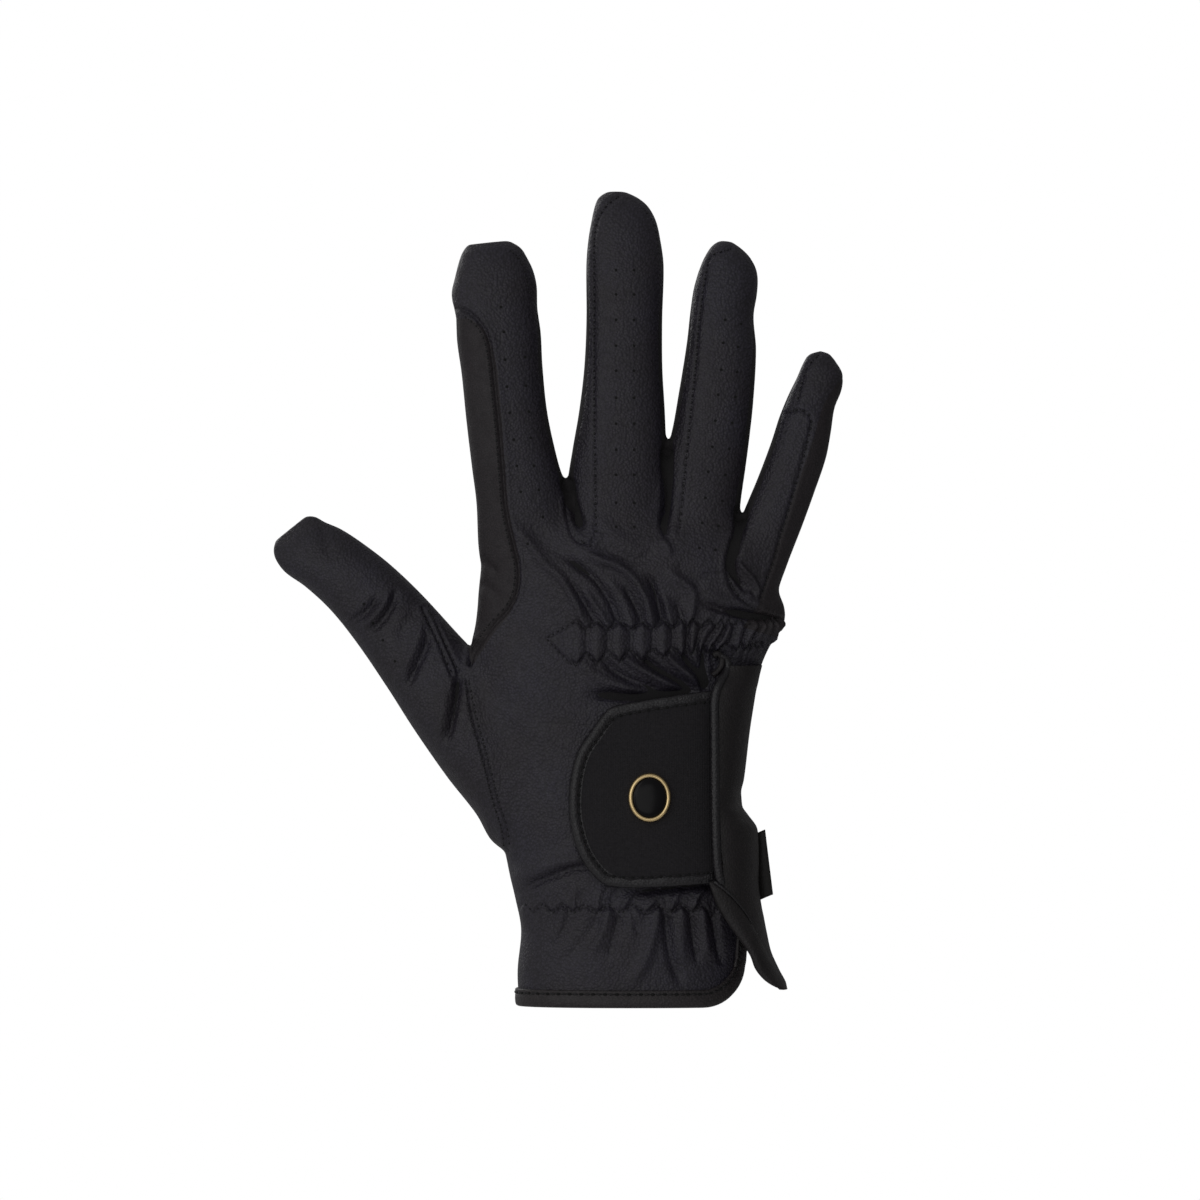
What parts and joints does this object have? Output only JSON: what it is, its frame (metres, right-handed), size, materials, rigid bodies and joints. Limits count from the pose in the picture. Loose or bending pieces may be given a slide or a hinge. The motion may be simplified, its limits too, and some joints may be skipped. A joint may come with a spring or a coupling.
{
  "type": "horse riding glove",
  "caption": "Right-hand riding glove in soft black synthetic leather, filled out as on a hand, with a wrist strap, oval badge and bound cuff.",
  "frame": {"origin": "centre of the cuff's mouth, in the plane of the hem's lowest edge, where the wrist goes in", "axes": "+Z towards the fingertips, +Y from the back of the hand towards the palm, -X towards the thumb"},
  "size_m": [0.1657, 0.0473, 0.2365],
  "materials": {
    "leather": "soft fine-grained black synthetic leather, semi-matte",
    "smooth_cloth": "smooth dull black cloth-like synthetic",
    "stretch_cloth": "matte black stretch cloth",
    "edge_tape": "black edge binding with a slight sheen",
    "hook_and_loop": "plain black hook-and-loop pad",
    "gold": "polished gold-coloured rim",
    "enamel": "bare glossy black domed face",
    "ribbon": "bare woven black ribbon"
  },
  "bodies": {
    "root": {"back_panel": "leather", "palm_panel": "leather", "thumb_piece": "leather", "index_side_panel": "smooth_cloth", "little_side_panel": "smooth_cloth", "little_rein_patch": "leather", "little_tip_cap": "leather", "fourchette_index_middle": "stretch_cloth", "fourchette_middle_ring": "stretch_cloth", "fourchette_ring_little": "stretch_cloth", "hem_binding": "edge_tape", "wrist_strap": "smooth_cloth", "strap_binding": "leather", "closure_pad": "hook_and_loop", "badge_rim": "gold", "badge_face": "enamel", "side_flap": "leather", "slit_piping": "leather", "side_tag": "ribbon"}
  },
  "joints": []
}
